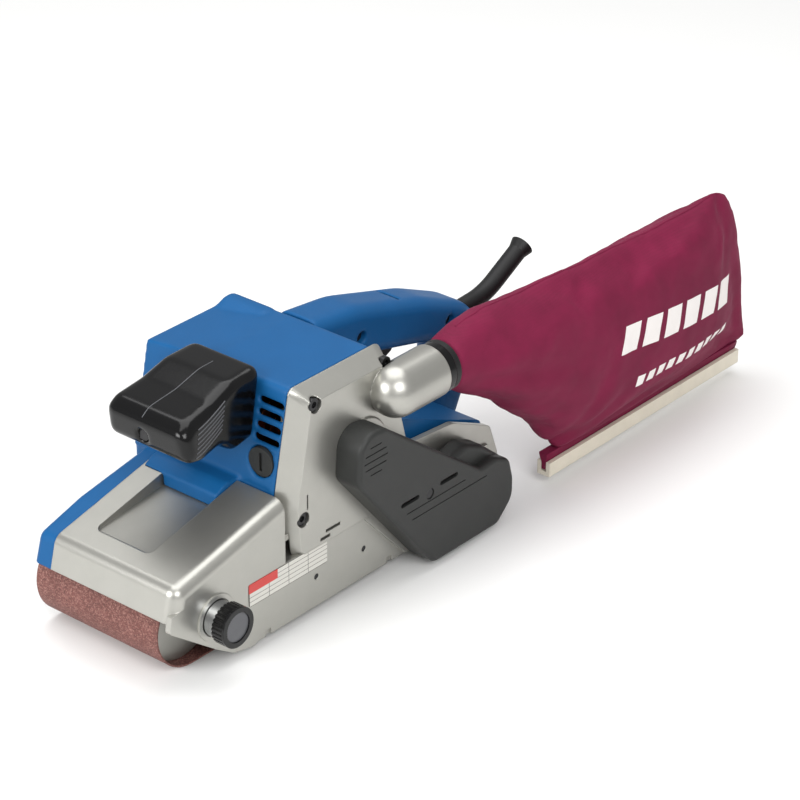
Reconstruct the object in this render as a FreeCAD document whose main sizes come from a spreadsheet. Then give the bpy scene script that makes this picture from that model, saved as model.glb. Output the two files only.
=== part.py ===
import FreeCAD, Part
import math
import operator
import os
import Sketcher
from FreeCAD import Placement, Rotation, Vector

# Handheld belt sander, millimetres. The origin is the centre of the flat sanding face under the belt.
# +X runs back towards the handle, -Y is the drive side, +Y the side where the belt slides off, +Z is up.

doc = FreeCAD.newDocument("BeltSander")
sheet = doc.addObject("Spreadsheet::Sheet", "Sizes")

driving_sizes = {
    # sanding belt and rollers
    "BeltLong": 610, "BeltWide": 100, "BeltThick": 1, "BeltGap": 0.3, "RollerRadius": 27.7,
    "RollerShort": 8, "SleeveThick": 3, "DriveShaftRadius": 8, "IdlerShaftRadius": 5, "RunGap": 0.04,
    "GuardGap": 2, "FreeGap": 0.3,
    # frame casting
    "SideGap": 20, "PlateThick": 4, "CastWall": 3.5, "PlateLow": 6, "SeamHigh": 48.5,
    "HoodFront": 36.3, "HoodLow": 50, "HoodNose": 70, "HoodBack": 47, "HoodRise": 91, "HoodRound": 8,
    "HoodRight": 29, "RecessDeep": 10, "RecessFront": 14.3, "RecessLeft": 32, "RecessRight": 13,
        "RecessRound": 5,
    "BeamLow": 8, "BeamDrop": 7.4, "BeamRight": 40, "BeamWall": 7, "ArmThick": 6, "ArmRadius": 14,
    "DeckLow": 60, "DeckThick": 4, "BearingRadius": 11, "RollerBearingRadius": 13, "BearingWide": 7,
    # belt platen
    "PlatenThick": 1.5, "CorkThick": 3, "GraphiteThick": 1, "PlatenInset": 6,
    # tension carriage and lever
    "TensionTravel": 8, "YokeThick": 8.5, "YokeArm": 5, "StemWide": 14, "LeverLong": 30, "LeverThick": 4,
    # tracking knob
    "KnobRadius": 13, "KnobThick": 9.5, "KnobFace": 18, "KnobHigh": 40, "KnobBoss": 13.5,
    # gear cover and dust nozzle
    "CoverDeep": 13, "PanelOut": 2, "PanelTop": 155.2, "PanelBack": 68, "PanelTaper": 32, "PanelWall": 3.5,
    "NozzleRadius": 17, "NozzleBore": 14, "NozzleProud": 6, "NozzleHigh": 131, "NozzleFront": 44,
    "NozzleBack": 76, "PanelBossOut": 1.2, "PanelBossRadius": 21,
    # motor, gears and timing belt drive
    "MotorX": -4, "MotorHigh": 106, "JackX": 20, "JackHigh": 97, "PinionTeeth": 13, "GearTeeth": 39,
    "GearBacklash": 0.32, "GearWide": 6.5, "SmallPulleyTeeth": 10, "BigPulleyTeeth": 20, "PulleyPitch": 5,
    "PulleyWide": 9, "TimingThick": 1.8, "ArmatureShaftRadius": 4, "JackShaftRadius": 5,
    "CoreRadius": 20.7, "AirGap": 0.8, "FieldRadius": 33, "CoreLong": 46, "CommutatorRadius": 11,
    "CommutatorLong": 10, "BrushOffset": 46, "FanRadius": 27, "FanWide": 10,
    # timing belt cover
    "CoverProud": 19, "CoverWall": 2.5, "CoverSmallRadius": 23, "CoverBigRadius": 37, "CoverLow": 4,
        "DomeBack": 7,
    # motor housing, side cover and rear housing
    "ShellWall": 3, "ShellTop": 155.2, "ShellRight": 55, "RoofFall": 5, "ShellBack": 44, "CapRadius": 9.5,
    "SideCoverOut": 44, "RearTop": 104, "RearEdge": 60.3, "RearBack": 148,
    # D-handle
    "HandleWide": 34, "HandleRound": 9, "TriggerWide": 10, "TriggerTravel": 4, "ButtonRadius": 5,
    "ButtonTravel": 2.5, "DialRadius": 10, "DialThick": 3,
    # front grip
    "GripLeft": 45, "GripRight": 18, "GripSeam": -12, "GripNose": 106, "GripRound": 7,
    # cord guard
    "GuardRadius": 6.3, "GuardBore": 3.8, "GuardFlare": 8,
    # dust collar, bag and rail
    "CollarRadius": 16.3, "CollarBore": 11.5, "CollarLong": 6, "SpigotLong": 14, "NeckLong": 4,
    "BagBack": 409, "BagTop": 158, "BagFull": 26, "RailFront": 192, "RailBack": 404, "RailLow": 8,
    "RailWide": 10, "RailSlot": 4,
}
for row, (alias, number) in enumerate(driving_sizes.items(), start=1):
    sheet.set(f"A{row}", alias)
    sheet.set(f"B{row}", str(number))
    sheet.setAlias(f"B{row}", alias)
doc.recompute()


class Size:
    """A length from the sheet, or a sum made of them: its value and the expression that binds it."""

    def __init__(self, value, text):
        self.value = float(value)
        self.text = text

    def join(self, other, sign, work):
        other = as_size(other)
        return Size(work(self.value, other.value), f"({self.text} {sign} {other.text})")

    def __add__(self, other):
        return self.join(other, "+", operator.add)

    def __radd__(self, other):
        return as_size(other) + self

    def __sub__(self, other):
        return self.join(other, "-", operator.sub)

    def __rsub__(self, other):
        return as_size(other) - self

    def __mul__(self, other):
        return self.join(other, "*", operator.mul)

    def __rmul__(self, other):
        return self * other

    def __truediv__(self, other):
        return self.join(other, "/", operator.truediv)

    def __neg__(self):
        return as_size(0) - self

    def __float__(self):
        return self.value


def as_size(number):
    return number if isinstance(number, Size) else Size(number, repr(number))


class Sheet:
    """Reads a size by its alias."""

    def __getattr__(self, alias):
        return Size(sheet.get(alias), f"Sizes.{alias}")


s = Sheet()
nodes = []
casing_screws = []
grip_screws = []
side_screws = ((-19.9, 26.6), (23.6, 26.3))


def bind(item, prop, size):
    """Binds one property to the sheet, or sets a plain number."""
    size = as_size(size)
    if "Sizes" in size.text:
        item.setExpression(prop, size.text)
    return size.value


def place(item, at, turn=None):
    """Puts an item at a point whose coordinates stay bound to the sheet."""
    at = [as_size(c) for c in at]
    item.Placement = Placement(Vector(*[c.value for c in at]), turn or Rotation())
    for letter, coordinate in zip("xyz", at):
        bind(item, f"Placement.Base.{letter}", coordinate)
    return item


turns = {
    "X": Rotation(Vector(0, 1, 0), 90),
    "Y": Rotation(Vector(1, 0, 0), -90),
    "Z": Rotation(),
}


def cylinder(radius, length, at, axis="Y"):
    rod = doc.addObject("Part::Cylinder", "rod")
    rod.Radius = bind(rod, "Radius", radius)
    rod.Height = bind(rod, "Height", length)
    return place(rod, at, turns[axis])


def cone(radius, end_radius, length, at, axis="Y"):
    taper = doc.addObject("Part::Cone", "taper")
    taper.Radius1 = bind(taper, "Radius1", radius)
    taper.Radius2 = bind(taper, "Radius2", end_radius)
    taper.Height = bind(taper, "Height", length)
    return place(taper, at, turns[axis])


def block(low, high):
    """A box from its lowest to its highest corner."""
    box = doc.addObject("Part::Box", "block")
    for prop, start, end in zip(("Length", "Width", "Height"), low, high):
        setattr(box, prop, bind(box, prop, as_size(end) - start))
    return place(box, low)


def fuse(*items):
    joined = doc.addObject("Part::MultiFuse", "joined")
    joined.Shapes = list(items)
    joined.Refine = True
    return joined


def group(*items):
    """Separate solids of one kind, kept apart in one node."""
    together = doc.addObject("Part::Compound", "together")
    together.Links = list(items)
    return together


def cut(base, *tools):
    result = doc.addObject("Part::Cut", "cut")
    result.Base = base
    result.Tool = tools[0] if len(tools) == 1 else fuse(*tools)
    return result


def common(base, tool):
    result = doc.addObject("Part::Common", "common")
    result.Base = base
    result.Tool = tool
    return result


def ring(radius, bore, length, at, axis="Y"):
    return cut(cylinder(radius, length, at, axis), cylinder(bore, length, at, axis))


def node(item, name):
    """Marks an item as a finished sub-part, which its label names."""
    item.Label = name
    nodes.append(item)
    return item


def draw(sketch, outline):
    """Adds a closed outline; a third number on a point rounds its corner."""
    points = [[as_size(c) for c in corner] for corner in outline]
    corners = [Vector(p[0].value, p[1].value, 0) for p in points]
    first = sketch.GeometryCount
    count = len(corners)
    for i, corner in enumerate(corners):
        sketch.addGeometry(Part.LineSegment(corner, corners[(i + 1) % count]), False)
    for i in range(count):
        sketch.addConstraint(Sketcher.Constraint("Coincident", first + i, 2, first + (i + 1) % count, 1))
    for i, point in enumerate(points):
        for kind, size in zip(("DistanceX", "DistanceY"), point):
            rule = sketch.addConstraint(Sketcher.Constraint(kind, -1, 1, first + i, 1, size.value))
            bind(sketch, f"Constraints[{rule}]", size)
    for i, point in enumerate(points):
        if len(point) > 2:
            corner, before, after = corners[i], corners[i - 1], corners[(i + 1) % count]
            sketch.fillet(first + (i - 1) % count, first + i, corner + (before - corner) * 0.2,
                          corner + (after - corner) * 0.2, point[2].value, True, True)


def sketch_on(body, plane, offset, outlines):
    """A sketch on one of the body's own origin planes, moved along the plane's normal."""
    sketch = body.newObject("Sketcher::SketchObject", "outline")
    support = [item for item in body.Origin.OriginFeatures if item.Role == f"{plane}_Plane"][0]
    sketch.AttachmentSupport = [(support, "")]
    sketch.MapMode = "FlatFace"
    sketch.AttachmentOffset = Placement(Vector(0, 0, as_size(offset).value), Rotation())
    bind(sketch, "AttachmentOffset.Base.z", offset)
    for outline in outlines:
        draw(sketch, outline)
    return sketch


def pad(plane, start, depth, *outlines, body=None, taper=0):
    """Pads outlines along the plane's axis from start by depth; inner outlines are holes."""
    body = body or doc.addObject("PartDesign::Body", "body")
    offset = -(as_size(start) + depth) if plane == "XZ" else as_size(start)
    sketch = sketch_on(body, plane, offset, outlines)
    feature = body.newObject("PartDesign::Pad", "pad")
    feature.Profile = sketch
    feature.Length = bind(feature, "Length", depth)
    if float(taper):
        feature.TaperAngle = bind(feature, "TaperAngle", taper)
    doc.recompute()
    return body


def pocket(body, plane, start, depth, *outlines):
    """Cuts outlines out of a body, between start and start + depth along the plane's axis."""
    before = body.Shape.Volume
    offset = -as_size(start) if plane == "XZ" else as_size(start) + depth
    sketch = sketch_on(body, plane, offset, outlines)
    feature = body.newObject("PartDesign::Pocket", "pocket")
    feature.Profile = sketch
    feature.Length = bind(feature, "Length", depth)
    doc.recompute()
    if body.Shape.Volume >= before:
        raise ValueError(f"pocket removed nothing from {body.Name}")
    return body


def soften(body, radius, chosen, feature="PartDesign::Fillet"):
    """Rounds or bevels the edges of a body that the function picks."""
    tip = body.Tip
    names = [f"Edge{i}" for i, edge in enumerate(tip.Shape.Edges, start=1) if chosen(edge)]
    if not names:
        raise ValueError(f"no edge to soften on {body.Name}")
    edge_round = body.newObject(feature, "soft")
    edge_round.Base = (tip, names)
    prop = "Radius" if feature == "PartDesign::Fillet" else "Size"
    setattr(edge_round, prop, bind(edge_round, prop, radius))
    doc.recompute()
    return body


def at_plane(letter, value, reach=0.02):
    """Picks edges that lie in one plane across an axis."""
    low, high = f"{letter}Min", f"{letter}Max"

    def chosen(edge):
        box = edge.BoundBox
        near = abs(getattr(box, low) - float(value)) < reach
        return near and abs(getattr(box, high) - float(value)) < reach
    return chosen


def stadium(radius, start, width, front=None, back=None):
    """The round-ended shape of a belt run about both roller axles."""
    front = front_axle if front is None else front
    back = back_axle if back is None else back
    ends = [cylinder(radius, width, (x, start, axle_high)) for x in (front, back)]
    middle = block((front, start, axle_high - radius), (back, as_size(start) + width, axle_high + radius))
    return fuse(middle, *ends)


# Main lines of the machine
axle_gap = (s.BeltLong - 2 * math.pi * (s.RollerRadius + s.BeltGap + s.BeltThick / 2)) / 2
front_axle = -axle_gap / 2
back_axle = axle_gap / 2
inner_radius = s.RollerRadius + s.BeltGap
axle_high = inner_radius + s.BeltThick
half_belt = s.BeltWide / 2
side_out = -(half_belt + s.SideGap)
side_in = side_out + s.PlateThick
panel_out = side_out - s.PanelOut
shell_left = panel_out + s.CoverDeep
beam_high = 2 * s.RollerRadius - s.BeamDrop
clear_radius = axle_high + s.GuardGap
beam_front = front_axle + s.RollerRadius + s.TensionTravel + s.YokeThick + 1.5
beam_back = back_axle - s.RollerRadius - 4


def sanding_parts():
    """The sanding belt, the drive roller and the idler roller."""
    outer = stadium(axle_high, -half_belt, s.BeltWide)
    inner = stadium(inner_radius, -half_belt, s.BeltWide)
    node(cut(outer, inner), "sanding_belt")

    start = -half_belt + s.RollerShort - 6
    width = s.BeltWide - s.RollerShort - 2.4
    core = s.RollerRadius - s.SleeveThick
    axle = (back_axle, start, axle_high)
    node(ring(core, s.DriveShaftRadius, width, axle), "drive_roller_core")
    node(ring(s.RollerRadius, core, width, axle), "drive_roller_sleeve")
    shaft_start = panel_out - s.CoverProud + s.CoverWall + 1
    shaft_long = half_belt - 1 - shaft_start
    node(cylinder(s.DriveShaftRadius, shaft_long, (back_axle, shaft_start, axle_high)), "drive_shaft")

    idler_start = -half_belt + s.RollerShort
    idler_width = s.BeltWide - 2 * s.RollerShort
    bush = s.IdlerShaftRadius + 3
    at = (front_axle, idler_start, axle_high)
    roller = cylinder(s.RollerRadius, idler_width, at)
    bore = cylinder(bush, idler_width, at)
    hollow_start = idler_start + 12
    hollow = ring(s.RollerRadius - 5, bush + 4, idler_width, (front_axle, hollow_start, axle_high))
    node(cut(roller, bore, hollow), "idler_roller")
    bush_bore = s.IdlerShaftRadius + s.RunGap
    node(ring(bush, bush_bore, idler_width, at), "idler_bush")


def tension_parts():
    """The sliding yoke that carries the front roller, its spring and the lever that draws it back."""
    yoke_back = front_axle + s.RollerRadius + 1 + s.YokeThick
    yoke_front = front_axle + s.RollerRadius + 1
    arm_outer = half_belt - 2
    arm_inner = half_belt - s.RollerShort + 1
    half_tall = s.StemWide / 2
    crossbar = block((yoke_front, -arm_outer, axle_high - half_tall),
                     (yoke_back, arm_outer, axle_high + half_tall))
    stem = block((yoke_back, -half_tall, axle_high - half_tall),
                 (beam_front + s.BeamWall + 22, half_tall, axle_high + half_tall))
    arms = []
    for low, high in ((-arm_outer, -arm_inner), (arm_inner, arm_outer)):
        arms.append(block((front_axle, low, axle_high - half_tall),
                          (yoke_front, high, axle_high + half_tall)))
        arms.append(cylinder(half_tall, high - low, (front_axle, low, axle_high)))
    holes = cylinder(s.IdlerShaftRadius, 2 * arm_outer, (front_axle, -arm_outer, axle_high))
    node(cut(fuse(crossbar, stem, *arms), holes), "tension_yoke")
    node(cylinder(s.IdlerShaftRadius, 2 * arm_outer, (front_axle, -arm_outer, axle_high)), "idler_shaft")

    spring_start = beam_front + s.BeamWall + 22
    spring_end = beam_back - s.BeamWall
    spring_long = spring_end - spring_start
    node(ring(6.5, 4.5, spring_long, (spring_start, 0, axle_high), "X"), "tension_spring")

    pivot = (beam_front + 34, s.BeamRight + 0.4, axle_high)
    lever_body = fuse(
        cylinder(8, s.LeverThick, pivot),
        block((pivot[0], pivot[1], axle_high - 5),
              (pivot[0] + s.LeverLong, pivot[1] + s.LeverThick, axle_high + 5)),
        cylinder(5, s.LeverThick, (pivot[0] + s.LeverLong, pivot[1], axle_high)),
    )
    node(cut(lever_body, cylinder(3 + s.RunGap, s.LeverThick, pivot)), "tension_lever")
    pin_start = s.BeamRight - s.BeamWall
    pin_head = (pivot[0], s.BeamRight + s.LeverThick + 0.8, axle_high)
    pin = fuse(cylinder(3, pin_head[1] - pin_start, (pivot[0], pin_start, axle_high)), cylinder(5, 1.5,
        pin_head))
    node(pin, "lever_pin")
    return pivot


def frame_parts():
    """The aluminium casting: side plate, hood over the belt, deck, inner beam and roller arm."""
    hood_front = front_axle - s.HoodFront
    slope_front = front_axle - 31
    hood_wide = s.HoodRight - side_out
    hood = pad("XZ", side_out, hood_wide, [
        (hood_front, s.HoodLow), (slope_front, s.HoodNose, 8), (-s.HoodBack, s.HoodRise),
        (-s.HoodBack, s.HoodLow)])
    soften(hood, s.HoodRound, lambda edge: at_plane("Y", side_out)(edge) and edge.BoundBox.ZMin > 50.5)
    inner_front = hood_front + s.CastWall
    pocket(hood, "XZ", side_in, hood_wide, [
        (inner_front, s.HoodLow - 1), (slope_front + s.CastWall, s.HoodNose - s.CastWall - 0.5, 5),
        (1 - s.HoodBack, s.HoodRise - s.RecessDeep - s.CastWall - 1), (1 - s.HoodBack, s.HoodLow - 1)])
    recess_front = front_axle - s.RecessFront
    recess = pad("XZ", -s.RecessLeft, s.RecessLeft + s.RecessRight, [
        (recess_front + 2.5, s.HoodNose + 2), (-s.HoodBack + 1, s.HoodRise - s.RecessDeep),
        (-s.HoodBack + 1, s.HoodRise + 9), (recess_front, s.HoodRise + 9), (recess_front, s.HoodNose + 3.5)])
    soften(recess, s.RecessRound, lambda edge: edge.BoundBox.XMax < float(recess_front) + 0.1
           and edge.BoundBox.ZMax - edge.BoundBox.ZMin > 5)

    plate = pad("XZ", side_out, s.PlateThick, [
        (front_axle - 38, 46, 3), (front_axle + 0.7, 17, 16), (front_axle + 14.7, 8, 10),
        (front_axle + 30.7, 4.5, 5),
        (front_axle + 36, s.PlateLow), (back_axle - 10, s.PlateLow, 10), (back_axle + 30, 14, 14),
        (back_axle + 36, s.SeamHigh), (-s.HoodBack, s.SeamHigh), (-s.HoodBack, 70),
        (front_axle - s.HoodFront, 56)])
    seat_edge = back_axle - 47
    cover_seat = pad("XZ", side_out - s.PanelOut, s.PanelOut, [
        (22, s.SeamHigh), (seat_edge, s.PlateLow + 1), (back_axle + 18, s.PlateLow + 1, 6),
        (back_axle + 32, 22, 6),
        (back_axle + 32, s.SeamHigh)])
    rim_wall = block((-s.HoodBack, side_in, s.SeamHigh - 4),
                     (s.PanelBack, side_in + s.PlateThick, s.DeckLow + s.DeckThick))
    plate_lip = block((-s.HoodBack, side_out + 0.5, s.SeamHigh - 4), (s.PanelBack, side_in, s.SeamHigh))
    deck = block((-s.HoodBack - 2, side_in, s.DeckLow), (back_axle - 4, s.HoodRight, s.DeckLow + s.DeckThick))
    beam = block((beam_front, side_in - 1, s.BeamLow), (beam_back, s.BeamRight, beam_high))
    hollow = block((beam_front + s.BeamWall, side_in + 2, s.BeamLow + 5),
                   (beam_back - s.BeamWall, s.BeamRight - s.BeamWall, beam_high - 4))
    half_tall = s.StemWide / 2 + s.FreeGap
    guide = block((beam_front - 1, -half_tall, axle_high - half_tall),
                  (beam_front + s.BeamWall + 1, half_tall, axle_high + half_tall))
    lever_hole = cylinder(3, 2 * s.BeamWall, (beam_front + 34, s.BeamRight - s.BeamWall - 1, axle_high))
    arm_start = half_belt - 2 - s.ArmThick
    arm_bar = block((beam_back - 30, arm_start, axle_high - s.ArmRadius),
                    (back_axle, arm_start + s.ArmThick, axle_high + s.ArmRadius))
    arm_web = block((beam_back - 30, s.BeamRight - 2, axle_high - s.ArmRadius),
                    (beam_back, arm_start + s.ArmThick, axle_high + s.ArmRadius))
    arm_end = cylinder(s.ArmRadius + 1.5, s.ArmThick, (back_axle, arm_start, axle_high))
    bearing_hole = cylinder(s.RollerBearingRadius - 2, s.ArmThick + 1, (back_axle, arm_start, axle_high))
    boss_long = s.PlateThick + s.BearingWide
    boss_start = side_out - s.PanelOut
    boss = cylinder(s.RollerBearingRadius + 4, boss_long + 2, (back_axle, boss_start, axle_high))
    shaft_hole = cylinder(s.DriveShaftRadius + 2, boss_long + 4, (back_axle, boss_start - 1, axle_high))
    boss_hole = cylinder(s.RollerBearingRadius, boss_long, (back_axle, boss_start + 2, axle_high))
    knob_boss = cylinder(s.KnobBoss + 1.5, s.PlateThick + 1, (front_axle, side_out - 1, s.KnobHigh))
    knob_cup = cylinder(s.KnobBoss - 1.5, 2, (front_axle, side_out - 1, s.KnobHigh))
    knob_hole = cylinder(3 + s.RunGap, 20, (front_axle, side_out - 2, s.KnobHigh))
    slots = []
    for x in (front_axle + 42, 45):
        slots.append(block((x, side_out - 1, s.PlateLow - 1), (x + 5, side_out + 1.5, s.PlateLow + 4)))
    screw_holes = []
    for x, high in side_screws:
        screw_holes.append(cylinder(2, 2, (x, side_out, high)))
    clearance = stadium(clear_radius, side_in, 2 * s.BeltWide)
    guard_notch = block((s.PanelBack, side_in - 1, s.DeckLow - 1),
                        (back_axle, side_in + 2, s.DeckLow + s.DeckThick + 1))
    over_belt = cut(fuse(cut(hood, recess), deck, rim_wall, plate_lip), clearance, guard_notch)
    casting = fuse(over_belt, plate, cover_seat, cut(beam, hollow), arm_bar, arm_web, arm_end, boss,
                   knob_boss)
    holes = [guide, lever_hole, bearing_hole, shaft_hole, boss_hole, knob_cup, knob_hole]
    node(cut(casting, *holes, *slots, *screw_holes), "frame_casting")

    for x, high in side_screws:
        casing_screws.append(cylinder(2, 1.6, (x, side_out + 0.4, high)))
    node(pad("XZ", side_out - 0.4, 0.4, [
        (-79.5, 33, 1), (-79.5, 48, 1), (-10.5, 48, 1), (-10.5, 33, 1)]), "rating_plate")

    bearings = []
    for start, outer, width in ((boss_start + 2, s.RollerBearingRadius, boss_long),
                                (arm_start, s.RollerBearingRadius - 2, s.ArmThick)):
        bearings.append(ring(outer, s.DriveShaftRadius + s.RunGap, width, (back_axle, start, axle_high)))
    node(group(*bearings), "roller_bearings")

    plate_low = s.BeamLow - s.PlatenThick
    half_plate = half_belt - s.PlatenInset
    run = (beam_front - 4, beam_back + 3)
    node(block((run[0], side_in + 10, plate_low), (run[1], half_plate, s.BeamLow)), "platen_plate")
    cork_low = plate_low - s.CorkThick
    node(block((run[0] + 2, -half_plate, cork_low), (run[1] - 2, half_plate, plate_low)), "cork_pad")
    node(block((run[0], -half_plate, cork_low - s.GraphiteThick),
               (run[1], half_plate, cork_low)), "graphite_sheet")


def tracking_parts():
    """The knurled knob that steers the belt, with its screw and the spring behind it."""
    face = side_out - s.KnobFace
    rim = cylinder(s.KnobRadius, s.KnobThick, (front_axle, face, s.KnobHigh))
    dish = cylinder(s.KnobRadius - 3.5, 2.5, (front_axle, face - 0.01, s.KnobHigh))
    grooves = []
    groove_count = 28
    for i in range(groove_count):
        turn = math.radians(360 * i / groove_count)
        at = (front_axle + s.KnobRadius * math.cos(turn), face + 1.5,
              s.KnobHigh + s.KnobRadius * math.sin(turn))
        grooves.append(cylinder(0.7, s.KnobThick, at))
    thread_hole = cylinder(3, s.KnobThick, (front_axle, face + 3, s.KnobHigh))
    node(cut(rim, dish, thread_hole, *grooves), "tracking_knob")
    disc_at = (front_axle, face + 0.8, s.KnobHigh)
    node(cylinder(s.KnobRadius - 3.6, 1.6, disc_at), "knob_disc")
    screw_start = face + 3
    node(cylinder(3, side_in + 6 - screw_start, (front_axle, screw_start, s.KnobHigh)), "tracking_screw")
    spring_start = face + s.KnobThick + 0.3
    spring_end = side_out + 1
    node(ring(11.4, 9.8, spring_end - spring_start, (front_axle, spring_start, s.KnobHigh)),
         "tracking_spring")


def timing_outline(wall):
    """The timing cover's outline about its small and big pulleys; wall is what is taken off all round."""
    left, right = s.JackX - s.CoverSmallRadius + wall, back_axle + s.CoverBigRadius - wall
    return [
        (left - 1.5, s.JackHigh - 8, 12), (left + 1, s.JackHigh + 25 - wall, 14),
        (s.JackX + 0.5, s.JackHigh + 22 - wall, 10),
        (back_axle - 10, 62 - wall, 8), (back_axle + 4, 52 - wall, 8), (back_axle + 19, 53 - wall, 10),
        (right - 4, 47 - wall, 9), (right, 32, 14), (right, s.CoverLow + 14, 14),
        (right - 15, s.CoverLow + wall, 10),
        (back_axle - 41 + wall, s.CoverLow + wall, 9)]


def pulley_dome(wall):
    """The outline of the hump over the big pulley, behind the timing cover's flat face."""
    return [
        (back_axle - 30, 50), (back_axle - 18, 66 - wall, 8), (back_axle - 2, 69 - wall, 12),
        (back_axle + 14, 62 - wall, 14),
        (back_axle + s.CoverBigRadius - 1 - wall, 44 - wall, 12), (back_axle + s.CoverBigRadius - wall, 20),
        (back_axle - 30, 20)]


def stadium_slot(x, high, long, tall, face):
    """A round-ended slot through the timing cover's face."""
    reach = (long - tall) / 2
    ends = [cylinder(tall / 2, 6, (x + side * reach, face - 1, high)) for side in (-1, 1)]
    return fuse(block((x - reach, face - 1, high - tall / 2), (x + reach, face + 5, high + tall / 2)), *ends)


def gear_cover_parts():
    """The silver cover over the gears with the cast dust nozzle, its screws and the timing cover."""
    hidden = s.SeamHigh - 9
    cover_outline = [
        (-31, s.PanelTop, 5), (-46, 82, 30), (-43, 48, 10), (-34, hidden, 6), (s.PanelBack, hidden),
        (s.PanelBack + 1.5, 87, 8), (s.PanelBack - 5, 112, 6), (50, s.PanelTop, 8)]
    shell = pad("XZ", panel_out, s.CoverDeep, cover_outline, taper=-s.PanelTaper)
    under_seam = block((-60, panel_out - 1, 20), (100, shell_left + 1, s.SeamHigh))
    behind_rim = block((-60, side_in, 20), (100, shell_left + 1, s.DeckLow + s.DeckThick))
    inner = [
        (-24, 140, 4), (-33, 84, 10), (-30, 68, 6), (s.PanelBack - 14, 68, 4),
        (s.PanelBack - 14, 104, 4), (40, 140, 6)]
    gear_space = pad("XZ", panel_out + s.PanelWall, s.CoverDeep, inner)
    boss_at = (s.JackX, panel_out - s.PanelBossOut, s.JackHigh)
    boss = cone(s.PanelBossRadius, s.PanelBossRadius + s.PanelBossOut, s.PanelBossOut, boss_at)
    bearing_boss = cylinder(s.BearingRadius + 3, s.PanelWall + 0.8, (s.JackX, panel_out, s.JackHigh))
    jack_hole = cylinder(s.BearingRadius, s.BearingWide, (s.JackX, panel_out - 3, s.JackHigh))
    shaft_hole = cylinder(s.JackShaftRadius + 2, 30, (s.JackX, panel_out - 10, s.JackHigh))
    nozzle_y = panel_out - s.NozzleProud
    tube_long = s.NozzleBack - s.NozzleFront
    tube = cylinder(s.NozzleRadius, tube_long, (s.NozzleFront, nozzle_y, s.NozzleHigh), "X")
    nose = doc.addObject("Part::Sphere", "nose")
    nose.Radius = bind(nose, "Radius", s.NozzleRadius)
    place(nose, (s.NozzleFront, nozzle_y, s.NozzleHigh))
    duct = cylinder(s.NozzleBore, tube_long, (s.NozzleFront, nozzle_y, s.NozzleHigh), "X")
    duct_end = doc.addObject("Part::Sphere", "duct_end")
    duct_end.Radius = bind(duct_end, "Radius", s.NozzleBore)
    place(duct_end, (s.NozzleFront, nozzle_y, s.NozzleHigh))
    inlet = cylinder(8, 14, (s.NozzleFront - 6, nozzle_y + 4, s.NozzleHigh))
    beside_shell = block((-60, shell_left - 0.3, 40), (120, 20, 200))
    screw_spots = ((-20.8, 144.5), (43.9, 146.3), (-32.6, 72.5))
    sockets = [cylinder(5, 6, (x, panel_out - 1, high)) for x, high in screw_spots]
    slots = [
        block((-13, panel_out - 1, 55), (0, panel_out + 5, 57)),
        block((-18, panel_out - 1, 51), (-9, panel_out + 5, 53)),
        block((-29.6, panel_out - 1, 78), (-28.4, panel_out + 5, 88)),
    ]
    body = cut(fuse(cut(shell, under_seam, behind_rim), boss, tube, nose), gear_space, duct, duct_end, inlet,
               beside_shell, *sockets)
    node(cut(fuse(body, bearing_boss), jack_hole, shaft_hole, *slots), "gear_cover")
    for x, high in screw_spots:
        head = cylinder(4.2, 3, (x, panel_out + 1.6, high))
        casing_screws.append(cut(head, cylinder(2, 1.5, (x, panel_out + 1.6, high))))

    outer_face = panel_out - s.CoverProud
    deep = panel_out - outer_face
    timing = pad("XZ", outer_face, deep, timing_outline(0))
    soften(timing, 3, at_plane("Y", outer_face))
    dome = pad("XZ", outer_face + s.DomeBack, deep - s.DomeBack, pulley_dome(0))
    soften(dome, 4, lambda edge: at_plane("Y", outer_face + s.DomeBack)(edge) and edge.BoundBox.ZMax > 46)
    inside = pad("XZ", outer_face + s.CoverWall, deep, timing_outline(s.CoverWall.value))
    dome_inside = pad("XZ", outer_face + s.DomeBack + s.CoverWall, deep, pulley_dome(s.CoverWall.value))
    floor_clear = block((0, -200, -20), (300, 0, s.CoverLow))
    slots = []
    for x in (back_axle - 65, back_axle - 28):
        slots.append(stadium_slot(x, 59, 17, 3, outer_face))
    screw_x, screw_high = back_axle - 46, 56
    socket = cylinder(3.6, s.CoverWall + 2, (screw_x, outer_face - 1, screw_high))
    grooves = [
        block((back_axle - 68, outer_face - 1, 51), (back_axle - 12, outer_face + 0.6, 51.7)),
        block((back_axle - 63, outer_face - 1, 44.8), (back_axle + 9, outer_face + 0.6, 45.5))]
    for i in range(5):
        high = s.JackHigh - 4.5 + 4.6 * i
        reach = math.sqrt(10.5 ** 2 - (4.6 * i - 9.2) ** 2)
        grooves.append(block((s.JackX - 9 - reach, outer_face - 1, high),
                             (s.JackX - 9 + reach, outer_face + 0.6, high + 0.8)))
    seat = cone(s.PanelBossRadius, s.PanelBossRadius + s.PanelBossOut, s.PanelBossOut, boss_at)
    seat_room = cylinder(s.BearingRadius + 4, 3, (s.JackX, panel_out - s.PanelBossOut - 2.9, s.JackHigh))
    body = cut(fuse(timing, dome), inside, dome_inside, floor_clear, *slots, socket, *grooves, seat,
               seat_room)
    node(body, "timing_cover")
    casing_screws.append(cylinder(3.2, 1.6, (screw_x, outer_face + 0.6, screw_high)))
    node(group(*casing_screws), "casing_screws")


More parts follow.
